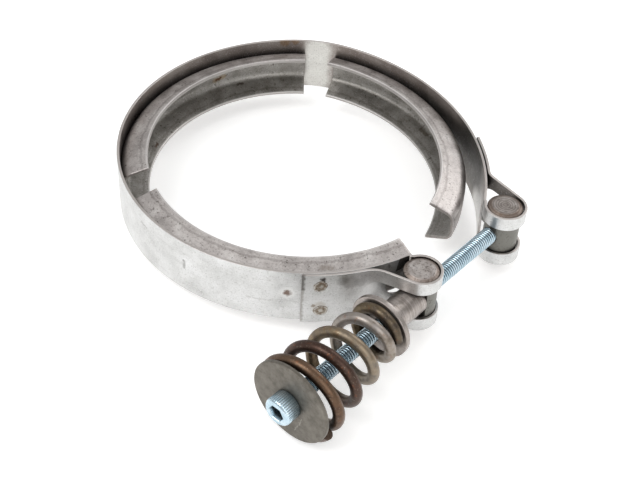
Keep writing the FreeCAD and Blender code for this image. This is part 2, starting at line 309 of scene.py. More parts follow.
shown = add(tree, "ShaderNodeMix", {0: path["Is Glossy Ray"], 6: (WORLD_FILL,) * 3 + (1,), 7: room}, 2,
            data_type="RGBA")
shown = add(tree, "ShaderNodeMix", {0: seen, 6: shown, 7: (1, 1, 1, 1)}, 2, data_type="RGBA")
sky = add(tree, "ShaderNodeBackground", {"Color": shown, "Strength": 1.0})
add(tree, "ShaderNodeOutputWorld", {"Surface": sky})


# %% The lamps


def lamp(name, place, size, watts):
    """White square lamp at a place in metres, turned to the origin: its Z axis points away from it."""
    data = bpy.data.lights.new(name, "AREA")
    data.size = size
    data.energy = watts
    made = bpy.data.objects.new(name, data)
    scene.collection.objects.link(made)
    away = np.array(place) / np.linalg.norm(place)
    side = np.cross([0.0, 1.0, 0.001], away)
    side /= np.linalg.norm(side)
    matrix = np.eye(4)
    matrix[:3, :3] = np.array([side, np.cross(away, side), away]).T
    matrix[:3, 3] = place
    made.matrix_world = Matrix(matrix.tolist())
    print(name, watts, "watts")


lamp("key", (-0.16, -0.5, 0.68), 0.5, 2.8)
lamp("fill", (0.55, -0.25, 0.35), 0.5, 1.2)
lamp("rim", (0.1, 0.6, 0.45), 0.4, 1.2)

# %% The floor
FLOOR_GLOW = 0.38
FLOOR_GAP = 0.05
FLOOR_HALF = 900.0
FLOOR_POINTS = 5
floor_z = cad_box[0][2] / MM - FLOOR_GAP
spread = np.linspace(-FLOOR_HALF, FLOOR_HALF, FLOOR_POINTS)
floor_x, floor_y = np.meshgrid(spread, spread, indexing="ij")
floor_points = np.stack([floor_x, floor_y, np.full_like(floor_x, floor_z)], axis=-1)
floor_mesh = bpy.data.meshes.new("floor")
floor_faces = grid_faces(FLOOR_POINTS, FLOOR_POINTS)[:, ::-1]
floor_mesh.from_pydata((floor_points.reshape(-1, 3) * MM).tolist(), [], floor_faces.tolist())
floor = bpy.data.objects.new("floor", floor_mesh)
scene.collection.objects.link(floor)
paper = bpy.data.materials.new("white_paper")
paper.use_nodes = True
tree = paper.node_tree
tree.nodes.clear()
matte = add(tree, "ShaderNodeBsdfDiffuse", {"Color": linear("#F4F4F3")})
glow = add(tree, "ShaderNodeEmission", {"Color": (1, 1, 1, 1), "Strength": FLOOR_GLOW})
path = add(tree, "ShaderNodeLightPath", output="Is Camera Ray").node.outputs
seen = add(tree, "ShaderNodeMath", {0: path["Is Camera Ray"], 1: path["Is Glossy Ray"]},
           operation="MAXIMUM")
seen = add(tree, "ShaderNodeMath", {0: seen, 1: path["Is Transmission Ray"]}, operation="MAXIMUM")
dark = add(tree, "ShaderNodeBsdfDiffuse", {"Color": (0, 0, 0, 1)})
lit = add(tree, "ShaderNodeMixShader", {0: seen, 1: dark, 2: glow})
both = add(tree, "ShaderNodeAddShader", {0: matte, 1: lit})
add(tree, "ShaderNodeOutputMaterial", {"Surface": both})
floor_mesh.materials.append(paper)

# %% [markdown]
# ## The band, of cold-rolled stainless strip
# The band is one strip, bent to a ring, with both ends folded into loops round the pins. It could be
# swept along a path, but its windows and crimps are cut in the CAD solid already. So a copy of that is
# dressed, with its edges rounded by a bevel.
# The strip is rolled bright. Its outside is a light satin grey, finely speckled. Its inside is painted
# darker, as shade and dark reflections, and painted shade makes it nearly black in the corners beside
# the segments. Its sheared edges are bright. Every face gets two measures, which side of the strip it is
# on and whether it is an edge, and the material reads them. Noise can't place a single mark, so
# scratches, tarnish and the weld's burn are strokes and spots at their own places, in millimetres, and so
# are a few painted highlights and reflections.

# %% Cold-rolled stainless strip


def strip_material():
    """Cold-rolled stainless: cloudy satin grey with pepper-fine specks and hairlines along the strip. Its
    inside is painted darker as shade and reflection, its corners get painted shade, and a few spots are
    painted highlights and reflections.
    """
    material, tree, shader, place = metal("cold_rolled_stainless_strip", 0.9, 0.33)
    cloud = speckle(tree, place, 9.0, 5.0)
    grain = speckle(tree, place, 0.55)
    fine = speckle(tree, place, (7.0, 7.0, 0.25), 3.0)
    outside = add(tree, "ShaderNodeValToRGB", {"Fac": cloud}, stops=[
        (0.3, "#BBBBBA"), (0.5, "#CFCFCE"), (0.7, "#DDDDDD")])
    # Corners on the outside are painted darker, as shade.
    outside = painted_corner_shade(tree, outside, 4.0, 0.6, 0.2, 0.5, "#3A3531")
    # The inside is painted darker than the outside, as the shade and dark reflections inside the ring.
    inside = add(tree, "ShaderNodeValToRGB", {"Fac": cloud}, stops=[
        (0.3, "#8A827E"), (0.5, "#A09893"), (0.7, "#B2ACA7")])
    # Painted light: pale patches on the inside where light falls through the gap between two segments.
    inside = marks_and_painted_spots(tree, inside, place, [(-39.8, 53.3, z, 6.8, 0.85, "#DAD9D4") for z in (-7, 0, 7)])
    # Painted reflections and light on the inside: a large dark painted reflection, two pale patches of
    # painted light on the straight leg by the nut loop, and two small amber painted reflections near the
    # gap.
    inside = marks_and_painted_spots(tree, inside, place, [
        (45.5, 45.7, 5.0, 19.0, 0.85, "#3B3932"), (55.6, 36.2, -9.0, 9.5, 0.9, "#E6E5E2"),
        (60.5, 30.5, -6.0, 10.0, 0.9, "#E6E5E2"),
        (-49.8, 44.4, 10.4, 2.6, 0.6, "#8E6C3E"), (-46.5, 47.0, 10.6, 2.0, 0.5, "#8E6C3E")])
    # Corners on the inside are painted nearly black, as the shade beside the segments.
    inside = painted_corner_shade(tree, inside, 9.0, 0.75, 0.3, 0.75, "#2F2A26")
    side = add(tree, "ShaderNodeAttribute", output="Fac", attribute_name="outer")
    base = add(tree, "ShaderNodeMix", {0: side, 6: inside, 7: outside}, 2, data_type="RGBA")
    base = stain(tree, base, grain, 0.55, 0.75, 0.45, "#77746F")
    base = stain(tree, base, grain, 0.42, 0.25, 0.35, "#EFEFEF")
    base = stain(tree, base, fine, 0.58, 0.7, 0.25, "#8B8985")
    sheared = add(tree, "ShaderNodeAttribute", output="Fac", attribute_name="sheared")
    base = stain(tree, base, sheared, 0.0, 1.0, 0.7, "#D6D0CC")
    base = lines(tree, base, place, [
        ((45.9, -51.3, -9.5), (45.9, -51.3, 4.5), 0.9, 0.5, "#7A726A"),
        ((45.9, -51.3, 5.0), (45.9, -51.3, 10.5), 1.2, 0.75, "#4A4540"),
        ((-15.5, -65.8, 5.4), (-12.3, -66.6, 4.8), 0.45, 0.5, "#77736E"),
        ((7.0, -67.3, 2.6), (6.6, -67.3, -0.4), 0.8, 0.5, "#5E5954"),
        ((30.0, -60.5, -3.0), (37.0, -56.6, -2.6), 0.4, 0.35, "#8B8782"),
        ((62.4, -26.6, 9.6), (61.6, -25.2, 7.2), 0.7, 0.5, "#5F5A54"),
        ((74.4, 16.2, 9.6), (74.0, 17.4, 2.0), 1.5, 0.45, "#4E5A63"),
        ((79.2, 18.0, 9.5), (79.6, 18.6, 8.0), 0.5, 0.7, "#3E3935")])
    # The three grey spots on the tab are a painted dark reflection, and the large pale spot at its end is a
    # painted highlight. The rest are the weld's burn with its pale halo, dents and rust.
    base = marks_and_painted_spots(tree, base, place, [
        (41.9, -54.1, 1.6, 3.4, 0.35, "#F2F1EF"), (41.9, -54.1, 1.6, 1.9, 0.85, "#5F412C"),
        (56.6, -39.3, 6.8, 3.4, 0.3, "#605C58"), (54.9, -41.4, 7.8, 2.4, 0.3, "#605C58"),
        (58.4, -36.2, 6.0, 2.4, 0.25, "#605C58"), (60.0, -31.3, 0.4, 6.5, 0.3, "#EDEDEC"),
        (50.9, -46.6, 8.9, 1.3, 0.9, "#2B2019"), (49.6, -47.7, 5.6, 1.2, 0.5, "#6F604F"),
        (50.2, -47.1, -3.6, 2.9, 0.3, "#9B8A72"), (49.0, -48.6, -3.0, 0.9, 0.6, "#77624B"),
        (51.4, -45.8, -5.4, 0.9, 0.5, "#77624B")])
    tree.links.new(base, shader.inputs["Base Color"])
    rough = add(tree, "ShaderNodeMapRange", {"Value": cloud, "From Min": 0.3, "From Max": 0.7,
                                             "To Min": 0.26, "To Max": 0.44})
    tree.links.new(rough, shader.inputs["Roughness"])
    raised = add(tree, "ShaderNodeBump", {"Height": fine, "Distance": 0.03 * MM, "Strength": 1.0})
    tree.links.new(raised, shader.inputs["Normal"])
    return material


# %% The band
FRONT_PIN = np.array([72.18, -21.5])
NUT_PIN = np.array([73.58, 24.4])
LOOP_REACH = 8.9
EDGE_LEAN = 0.55


def measure_sides(mesh):
    """Each face's normal against the direction out from its arc's middle: the pin's axis in a loop, and
    the ring's elsewhere. Along it, the face is the outside. Across it, the face is a sheared edge."""
    count = len(mesh.polygons)
    middle, normal = np.empty(count * 3, np.float32), np.empty(count * 3, np.float32)
    mesh.polygons.foreach_get("center", middle)
    mesh.polygons.foreach_get("normal", normal)
    flat = middle.reshape(-1, 3)[:, :2] / MM
    out = flat.copy()
    for pin in (FRONT_PIN, NUT_PIN):
        near = np.linalg.norm(flat - pin, axis=1) < LOOP_REACH
        out[near] = (flat - pin)[near]
    out /= np.linalg.norm(out, axis=1, keepdims=True)
    lean = (normal.reshape(-1, 3)[:, :2] * out).sum(axis=1)
    for name, values in (("outer", lean > 0), ("sheared", np.abs(lean) < EDGE_LEAN)):
        written = mesh.attributes.new(name, "FLOAT", "FACE")
        written.data.foreach_set("value", values.astype(np.float32))
        print(name, "faces:", int(values.sum()))


band = bevelled_copy("clamp_band", "band", 0.2, 40.0, strip_material())
measure_sides(band.data)

# %% [markdown]
# ## Spot weld prints
# The folded ends are spot welded to the ring. Each weld leaves the print of its electrode: a low button
# in a raised ring. A bump in the material would have no relief in the exported mesh. So the print is a
# small lens, a profile turned round the weld and bent onto the strip.

# %% Spot weld prints
PRINT_PROFILE = np.array([(0, -0.4), (2.5, -0.4), (2.5, -0.1), (2.3, 0.06), (2.05, 0.13), (1.8, 0.07),
                          (1.5, 0.01), (1.0, 0.02), (0.75, 0.07), (0.3, 0.09), (0, 0.09)])
PRINT_COLUMNS = 33
SLOW_WAVE, FAST_WAVE = 0.07, 0.04
RISE_MEAN, RISE_WAVE = 0.8, 0.35


def weld_print(arc_centre, radius, degrees, height):
    """Profile of (size, out) turned round a point on the strip: size goes along the arc and up. Slow sines
    round the turn, shifted by the height, make it as uneven as metal that was squeezed while soft."""
    turn = np.linspace(0, TURN, PRINT_COLUMNS)[None]
    uneven = SLOW_WAVE * np.sin(2 * turn + height) + FAST_WAVE * np.sin(5 * turn - height)
    size = PRINT_PROFILE[:, 0][:, None] * (1 + uneven)
    out = PRINT_PROFILE[:, 1][:, None] * (RISE_MEAN + RISE_WAVE * np.sin(3 * turn + height))
    angle = math.radians(degrees) + size * np.cos(turn) / radius
    x = arc_centre[0] + (radius + out) * np.cos(angle)
    y = arc_centre[1] + (radius + out) * np.sin(angle)
    return np.stack([x, y, height + size * np.sin(turn)], axis=-1)


# %% The prints' tint and places


def print_material():
    """The weld's heat: straw and brown in the ring's hollow, bright on its crests."""
    material, tree, shader, place = metal("heat_tinted_weld_print", 0.9, 0.4)
    depth = add(tree, "ShaderNodeAttribute", output="Fac", attribute_name="proud")
    base = add(tree, "ShaderNodeValToRGB", {"Fac": depth}, stops=[
        (0.0, "#857B6E"), (0.35, "#A8A095"), (0.7, "#C6C3BE"), (1.0, "#D2D0CC")])
    base = stain(tree, base, speckle(tree, place, 1.1), 0.46, 0.6, 0.75, "#6B5A48")
    tree.links.new(base, shader.inputs["Base Color"])
    return material


FRONT_LAP_R = 68.85
NUT_LAP_CENTRE, NUT_LAP_R = (-4.35, -18.17), 83.2
FULLY_PROUD = 0.16

prints = [weld_print((0, 0), FRONT_LAP_R, -43.1, 6.0),
          weld_print((0, 0), FRONT_LAP_R, -42.7, -5.3),
          weld_print(NUT_LAP_CENTRE, NUT_LAP_R, 48.5, 5.5),
          weld_print(NUT_LAP_CENTRE, NUT_LAP_R, 48.5, -5.5)]
rows, columns = prints[0].shape[:2]
print_faces = [grid_faces(rows, columns) + number * rows * columns for number in range(len(prints))]
proud = np.clip(PRINT_PROFILE[:, 1] / FULLY_PROUD, 0, 1)
proud = np.broadcast_to(proud[None, :, None], (len(prints), rows, columns))
new_piece("spot_weld_prints", np.stack(prints), np.vstack(print_faces), "clamp", 60.0,
          print_material(), {"proud": proud})

# %% [markdown]
# ## Rolled stainless sheet
# The segments are duller than the band, because rollers have pressed them. Their colour changes across
# the V, with painted shade in the hollow and a painted highlight at the lips, and noise alone can't
# follow that. So each point of their mesh gets three measures: whether it is in the hollow, how far the
# nearest rim is and how far the lip is.

# %% Rolled stainless sheet
TRACK_WANDER, TRACK_MIDDLE, TRACK_HALF = 3.0, 4.0, 0.45


def sheet_material():
    """Rolled stainless sheet: matte grey with fine dark pits. The hollow of the V is painted darker as
    shade, the lips carry a painted highlight, and the roller's edge has left a broken dark line beside
    them.
    Corners get painted shade. Rust sits in a few places, a brown core in an ochre fringe."""
    material, tree, shader, place = metal("rolled_stainless_sheet", 0.85, 0.42)
    cloud = speckle(tree, place, 6.0, 5.0)
    grain = speckle(tree, place, 0.6, 3.0)
    pits = speckle(tree, place, 1.3, 2.0)
    streak = speckle(tree, place, (5.0, 5.0, 0.4), 3.0)
    top = add(tree, "ShaderNodeValToRGB", {"Fac": cloud}, stops=[
        (0.3, "#A7A19E"), (0.5, "#BFB9B6"), (0.72, "#D2CECB")])
    # The hollow is painted darker than the top, as the shade under the upper leg.
    trough = add(tree, "ShaderNodeValToRGB", {"Fac": cloud}, stops=[
        (0.3, "#7E7B76"), (0.5, "#94918C"), (0.72, "#A9A6A2")])
    hollow = add(tree, "ShaderNodeAttribute", output="Fac", attribute_name="hollow")
    base = add(tree, "ShaderNodeMix", {0: hollow, 6: top, 7: trough}, 2, data_type="RGBA")
    base = stain(tree, base, grain, 0.54, 0.72, 0.6, "#635B56")
    base = stain(tree, base, grain, 0.4, 0.25, 0.45, "#E9E5E2")
    base = stain(tree, base, pits, 0.64, 0.7, 0.7, "#453D38")
    base = stain(tree, base, streak, 0.57, 0.7, 0.3, "#7C7470")
    # Corners of the segments are painted darker, as shade.
    base = painted_corner_shade(tree, base, 4.0, 0.6, 0.2, 0.6, "#2A2724")
    lip = add(tree, "ShaderNodeAttribute", output="Fac", attribute_name="lip_mm")
    # A painted highlight along the lips, within a millimetre of them.
    base = stain(tree, base, lip, 0.8, 0.3, 0.6, "#E6E3E1")
    track = add(tree, "ShaderNodeMath", {0: cloud, 1: TRACK_WANDER, 2: lip}, operation="MULTIPLY_ADD")
    track = add(tree, "ShaderNodeMath", {0: track, 1: TRACK_MIDDLE, 2: TRACK_HALF}, operation="COMPARE")
    base = stain(tree, base, track, 0.0, 1.0, 0.28, "#5A524D")
    rim = add(tree, "ShaderNodeAttribute", output="Fac", attribute_name="rim_mm")
    base = stain(tree, base, rim, 0.12, 0.02, 0.5, "#7A726D")
    base = lines(tree, base, place, [
        ((-63.0, 17.4, -1.8), (-61.9, 21.0, -1.0), 1.5, 0.45, "#8F7448"),
        ((-62.9, 17.9, -1.7), (-62.3, 19.7, -1.2), 0.9, 0.85, "#4A2B14"),
        ((-58.0, 25.4, -5.3), (-57.1, 27.2, -5.1), 0.8, 0.7, "#463A2D"),
        ((-54.1, -22.9, -6.7), (-53.4, -24.2, -6.5), 0.8, 0.8, "#4B3423"),
        ((-53.4, -24.2, -6.5), (-51.0, -27.6, -7.6), 0.4, 0.5, "#6A5F57"),
        ((-55.5, -13.0, -6.0), (-52.0, -14.0, -9.5), 0.35, 0.4, "#6A5F57"),
        ((-62.5, -8.0, 7.0), (-55.5, -9.5, 9.4), 0.35, 0.4, "#6F6762"),
        ((-58.5, -17.5, 7.8), (-56.0, -22.0, 8.2), 0.4, 0.5, "#6A5F57"),
        ((-20.6, -59.6, 7.8), (-18.4, -58.2, 8.2), 0.6, 0.5, "#6F6258"),
        ((-8.0, -61.5, 7.6), (3.0, -60.9, 8.0), 0.35, 0.35, "#6F6762"),
        ((20.0, -59.0, 7.5), (30.0, -54.5, 8.0), 0.35, 0.35, "#6F6762"),
        ((13.9, 55.3, -5.5), (17.8, 54.2, -5.3), 1.2, 0.65, "#4F4432"),
        ((45.6, -40.9, 7.0), (47.9, -38.9, 7.4), 1.6, 0.35, "#7F7264"),
        ((51.0, -39.8, 6.2), (53.2, -38.0, 6.6), 1.7, 0.3, "#9C8B74")])
    tree.links.new(base, shader.inputs["Base Color"])
    rough = add(tree, "ShaderNodeMapRange", {"Value": cloud, "From Min": 0.3, "From Max": 0.7,
                                             "To Min": 0.34, "To Max": 0.52})
    tree.links.new(rough, shader.inputs["Roughness"])
    raised = add(tree, "ShaderNodeBump", {"Height": grain, "Distance": 0.04 * MM, "Strength": 1.0})
    tree.links.new(raised, shader.inputs["Normal"])
    return material


sheet_metal = sheet_material()

# %% [markdown]
# ## The V-section segments
# Each segment is sheet rolled to a V and welded inside the band. A Screw modifier could turn the section,
# but would leave its ends sharp. Here a grid of points carries the section round the ring's arc, and its
# thickness shrinks in a quarter circle at every rim, as on sheared sheet.

# %% The section of a segment
SHEET_T = 1.3
BASE_HALF = 2.6
BEND_R = 4.0
LEG_SLOPE = math.radians(17.0)
SECTION_DEPTH = 9.9
RIM_R = 0.3
BASE_POINTS, BEND_POINTS, LEG_POINTS, RIM_POINTS = 3, 9, 8, 4


def section_line(base_r):
    """Middle of the sheet from tip to tip as (radius, height), its outward normal, and each point's
    distance from its lip: the flat base, a bend of one radius on each side, then a straight leg that leans
    by the slope. One half is worked out, and the other is its mirror picture."""
    radius = BEND_R - SHEET_T / 2
    swing = math.pi / 2 - LEG_SLOPE
    foot = base_r - BEND_R + radius * math.cos(swing)
    leg = (foot - (base_r - SECTION_DEPTH)) / math.cos(LEG_SLOPE)
    total = BASE_HALF + radius * swing + leg
    rim = RIM_R * (1 - np.cos(np.linspace(0, math.pi / 2, RIM_POINTS)))
    side = np.concatenate([np.linspace(0, BASE_HALF, BASE_POINTS)[:-1],
                           BASE_HALF + np.linspace(0, radius * swing, BEND_POINTS)[:-1],
                           BASE_HALF + radius * swing + np.linspace(0, leg - RIM_R, LEG_POINTS)[:-1],
                           total - rim[::-1]])
    on_bend = np.clip(side - BASE_HALF, 0, radius * swing)
    on_leg = np.clip(side - BASE_HALF - radius * swing, 0, None)
    turn = on_bend / radius
    r = base_r - BEND_R + radius * np.cos(turn) - on_leg * math.cos(LEG_SLOPE)
    h = np.minimum(side, BASE_HALF) + radius * np.sin(turn) + on_leg * math.sin(LEG_SLOPE)
    normal = np.stack([np.cos(turn), np.sin(turn)], axis=1)
    line = np.stack([r, h], axis=1)
    low = (line[:0:-1] * [1, -1], normal[:0:-1] * [1, -1])
    distance = np.concatenate([total - side[:0:-1], total - side])
    return np.vstack([low[0], line]), np.vstack([low[1], normal]), distance


# %% One segment from its section
ARC_POINTS = 120


def rim_share(distance):
    """Half thickness near a rim: the flat edge, then a quarter circle of the rim's radius."""
    past = np.clip(distance / RIM_R, 0, 1)
    return SHEET_T / 2 - RIM_R * (1 - np.sqrt(1 - (1 - past) ** 2))


def v_segment(name, node, centre, base_r, span):
    """Section line carried round an arc, as an outer skin, an inner skin and the rims between them."""
    line, normal, edge = section_line(base_r)
    arc_mm = math.radians(span[1] - span[0]) * base_r
    rim = RIM_R * (1 - np.cos(np.linspace(0, math.pi / 2, RIM_POINTS)))
    between = np.linspace(RIM_R, arc_mm - RIM_R, ARC_POINTS)[1:-1]
    along = np.concatenate([rim, between, (arc_mm - rim)[::-1]])
    angle = np.radians(span[0]) + along / base_r
    from_end = np.minimum(along, arc_mm - along)[:, None]
    half = np.minimum(rim_share(edge)[None], rim_share(from_end))
    skins = []
    for side in (1, -1):
        r = line[:, 0] + side * half * normal[:, 0]
        z = line[:, 1] + side * half * normal[:, 1]
        x = centre[0] + r * np.cos(angle)[:, None]
        y = centre[1] + r * np.sin(angle)[:, None]
        skins.append(np.stack([x, y, z + 0 * x], axis=-1))
    rows, columns = skins[0].shape[:2]
    skin_faces = grid_faces(rows, columns)
    other = skin_faces[:, ::-1] + rows * columns
    corner = np.arange(rows * columns).reshape(rows, columns)
    border = np.concatenate([corner[:-1, 0], corner[-1, :-1], corner[:0:-1, -1], corner[0, :0:-1]])
    following = np.roll(border, -1)
    rims = np.stack([border, following, following + rows * columns, border + rows * columns], axis=1)
    faces = np.vstack([skin_faces, other, rims])
    hollow = np.stack([np.zeros((rows, columns)), np.ones((rows, columns))])
    rim_mm = np.broadcast_to(np.minimum(edge[None], from_end), (2, rows, columns))
    lip_mm = np.broadcast_to(edge[None], (2, rows, columns))
    piece = new_piece(name, np.stack(skins), faces, "clamp", 60.0, sheet_metal,
                      {"hollow": hollow, "rim_mm": rim_mm, "lip_mm": lip_mm})
    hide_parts(node)


# %% The three segments
RING_BASE_R = 66.65
SEAT_BASE_R = 70.25
v_segment("v_segment_front_sheet", "v_segment_front", (0, 0), RING_BASE_R, (-113.0, -12.6))
v_segment("v_segment_left_sheet", "v_segment_left", (0, 0), RING_BASE_R, (131.0, 235.5))
v_segment("v_segment_right_sheet", "v_segment_right", (-6.0, -7.8), SEAT_BASE_R, (16.5, 113.0))

# %% [markdown]
# ## Trunnion pins
# The pins are turned from bar and drilled across. Turning a profile here would lose the cross holes, so
# the CAD solids are copied and get a fine bevel. Their flat ends have a wide chamfer, tarnished brown.
# The front pin's end is speckled, and the nut pin's end keeps the tool's rings.

# %% Trunnion pins
CHAMFER_FROM, CHAMFER_TO = 4.2, 5.1
SIDE_FROM, SIDE_FULL = 0.9, 1.6
RING_FEED = 0.9
RING_CHATTER = 0.8


def pin_material(name, centre_mm, end_mm, stops, ring_share, speck_share):
    """Turned steel: rings at the tool's feed, drawn coarse enough to show, under specks and tarnish. They
    are the sine of the distance from the axis over the feed, and noise shifts them a little, because a worn
    tool chatters. The chamfer is brown, and from about a millimetre below an end the side is plain grey."""
    material, tree, shader, place = metal(name, 0.85, 0.42)
    from_axis = add(tree, "ShaderNodeVectorMath", {0: place, 1: [c * MM for c in centre_mm]},
                    operation="SUBTRACT")
    flat = add(tree, "ShaderNodeVectorMath", {0: from_axis, 1: (1, 1, 0)}, operation="MULTIPLY")
    radius = add(tree, "ShaderNodeVectorMath", {0: flat}, "Value", operation="LENGTH")
    cloud = speckle(tree, place, 2.4, 4.0)
    pits = speckle(tree, place, 0.9, 2.0)
    shifted = add(tree, "ShaderNodeMath", {0: cloud, 1: RING_CHATTER * MM, 2: radius},
                  operation="MULTIPLY_ADD")
    wave = add(tree, "ShaderNodeMath", {0: shifted, 1: TURN / (RING_FEED * MM)}, operation="MULTIPLY")
    rings = add(tree, "ShaderNodeMath", {0: wave}, operation="SINE")
    base = add(tree, "ShaderNodeValToRGB", {"Fac": cloud}, stops=stops)
    base = stain(tree, base, rings, -0.4, 1.0, ring_share, "#544B46")
    base = stain(tree, base, radius, CHAMFER_FROM * MM, CHAMFER_TO * MM, 0.6, "#6E5A4B")
    height = add(tree, "ShaderNodeSeparateXYZ", {"Vector": place}, "Z")
    height = add(tree, "ShaderNodeMath", {0: height}, operation="ABSOLUTE")
    base = stain(tree, base, height, (end_mm - SIDE_FROM) * MM, (end_mm - SIDE_FULL) * MM, 0.9, "#73736E")
    base = stain(tree, base, pits, 0.56, 0.68, speck_share, "#433B36")
    # Corners of the pin are painted nearly black, as shade.
    base = painted_corner_shade(tree, base, 5.0, 0.8, 0.3, 0.9, "#1E1A17")
    tree.links.new(base, shader.inputs["Base Color"])
    raised = add(tree, "ShaderNodeBump", {"Height": pits, "Distance": 0.05 * MM, "Strength": 1.0})
    tree.links.new(raised, shader.inputs["Normal"])
    return material


bevelled_copy("front_trunnion", "front_pin", 0.12, 20.0,
              pin_material("turned_steel_front", (*FRONT_PIN, 0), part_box("front_pin")[1][2] / MM,
                           [(0.3, "#98908B"), (0.5, "#B5AEAA"), (0.72, "#CAC5C2")], 0.1, 0.65))
bevelled_copy("nut_trunnion", "nut_pin", 0.12, 20.0,
              pin_material("turned_steel_nut", (*NUT_PIN, 0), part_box("nut_pin")[1][2] / MM,
                           [(0.3, "#7F7772"), (0.5, "#9A938E"), (0.72, "#B0AAA6")], 0.5, 0.35))

# %% [markdown]
# ## The flanged sleeve
# A turned tube with a flange. Two joined cylinders would meet in sharp corners. So both are one profile
# turned round the screw's axis, with a small fillet where they meet and broken edges.

# %% Profiles turned round the screw


def rounded(corners, radii, steps=5):
    """Profile through (radius, along) corners, each replaced by an arc that touches both its sides."""
    points = []
    for before, corner, after, radius in zip(corners, corners[1:], corners[2:], radii[1:]):
        corner = np.array(corner, float)
        towards = [np.array(p, float) - corner for p in (before, after)]
        ways = [w / np.linalg.norm(w) for w in towards]
        half = math.acos(float(np.clip(ways[0] @ ways[1], -1, 1))) / 2
        if radius == 0:
            points.append(corner[None])
            continue
        middle = corner + (ways[0] + ways[1]) / np.linalg.norm(ways[0] + ways[1]) * radius / math.sin(half)
        feet = [corner + w * radius / math.tan(half) for w in ways]
        start, end = [math.atan2(*(foot - middle)[::-1]) for foot in feet]
        swing = (end - start + math.pi) % TURN - math.pi
        angle = start + swing * np.linspace(0, 1, steps)
        points.append(middle + radius * np.stack([np.cos(angle), np.sin(angle)], axis=1))
    return np.vstack([np.array(corners[:1], float), *points, np.array(corners[-1:], float)])


def lathe(profile, axis_point, turns=96):
    """Points of a profile of (radius, along) turned round an axis that runs along +Y."""
    angle = np.linspace(0, TURN, turns + 1)
    radius, along = profile[:, 0][:, None], profile[:, 1][:, None]
    x = axis_point[0] + radius * np.sin(angle)
    y = axis_point[1] + along + 0 * angle
    z = axis_point[2] + radius * np.cos(angle)
    return np.stack([x, y, z], axis=-1)


# %% The flanged sleeve


def turned_material(name, roughness, stops, line_colour, line_share, feed_mm=0.3, strokes=()):
    """Lathe-turned steel: fine lines round the axis, noise that is long across it and one feed wide along
    it, then specks, painted shade in the corners and single scratches."""
    material, tree, shader, place = metal(name, 0.85, roughness)
    feed = speckle(tree, place, (30.0, feed_mm, 30.0))
    base = add(tree, "ShaderNodeValToRGB", {"Fac": speckle(tree, place, 3.0, 4.0)}, stops=stops)
    base = stain(tree, base, feed, 0.42, 0.62, line_share, line_colour)
    base = stain(tree, base, speckle(tree, place, 0.7), 0.58, 0.75, 0.5, "#4F4742")
    # Corners of the sleeve and washer are painted darker, as shade.
    base = painted_corner_shade(tree, base, 5.0, 0.7, 0.2, 0.6, "#33291F")
    base = lines(tree, base, place, strokes)
    tree.links.new(base, shader.inputs["Base Color"])
    raised = add(tree, "ShaderNodeBump", {"Height": feed, "Distance": 0.03 * MM, "Strength": 1.0})
    tree.links.new(raised, shader.inputs["Normal"])
    return material


SCREW_X = 72.58
FLANGE_Y = -43.1
BORE_R, TUBE_R, FLANGE_R = 3.4, 5.35, 11.5
FLANGE_T, SLEEVE_LENGTH = 2.0, 18.7
sleeve_profile = rounded([(BORE_R, 0), (FLANGE_R, 0), (FLANGE_R, FLANGE_T), (TUBE_R, FLANGE_T),
                          (TUBE_R, SLEEVE_LENGTH), (BORE_R, SLEEVE_LENGTH), (BORE_R, 0)],
                         [0, 0.35, 0.35, 0.4, 0.3, 0.2, 0])
sleeve_points = lathe(sleeve_profile, (SCREW_X, FLANGE_Y, 0))
sleeve_steel = turned_material("turned_steel_sleeve", 0.34, [
    (0.3, "#979089"), (0.55, "#B0A8A3"), (0.75, "#C3BCB8")], "#7A706A", 0.55)
sleeve = new_piece("turned_sleeve", sleeve_points, grid_faces(*sleeve_points.shape[:2]), "clamp",
                   35.0, sleeve_steel)
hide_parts("flanged_sleeve")

# %% [markdown]
# ## The washer
# A thick punched washer, dull grey-brown, with its rim broken by tumbling. It is turned from a profile,
# as the sleeve is. It hangs on the screw, so its middle is a quarter of a millimetre low.

# %% The washer
HEAD_Y = -86.5
WASHER_SAG = 0.25
HOLE_R, WASHER_R, WASHER_T = 3.3, 15.0, 1.6
washer_profile = rounded([(HOLE_R, 0), (WASHER_R, 0), (WASHER_R, WASHER_T), (HOLE_R, WASHER_T),
                          (HOLE_R, 0)], [0, 0.35, 0.35, 0.15, 0])
washer_points = lathe(washer_profile, (SCREW_X, HEAD_Y, -WASHER_SAG), 128)
scratch = ((75.2, HEAD_Y, -11.2), (78.0, HEAD_Y, -3.8), 0.3, 0.35, "#B9B4AD")
washer_steel = turned_material("tumbled_steel", 0.5, [
    (0.3, "#615D55"), (0.5, "#77726A"), (0.75, "#89847C")], "#56514A", 0.25, 0.8, [scratch])
washer = new_piece("punched_washer", washer_points, grid_faces(*washer_points.shape[:2]), "pressure_washer",
                   35.0, washer_steel)
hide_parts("washer")

# %% [markdown]
# ## The screw
# A socket-head screw with blue-white zinc plating. A bump could stand for its thread, but the thread's
# outline shows beside the spring. So it is a real helix: the radius at each point depends on how far it
# is along one pitch. The head has a straight knurl and a hexagon socket.

# %% The thread
PITCH = 1.0
THREAD_R = 3.0
THREAD_DEPTH = 0.61
FLANK_GAIN, ROOT_FLAT = 1.3, 0.12
SCREW_LENGTH = 110.0
TIP_BEVEL = 0.9
ROWS_PER_TURN, THREAD_COLUMNS = 8, 37


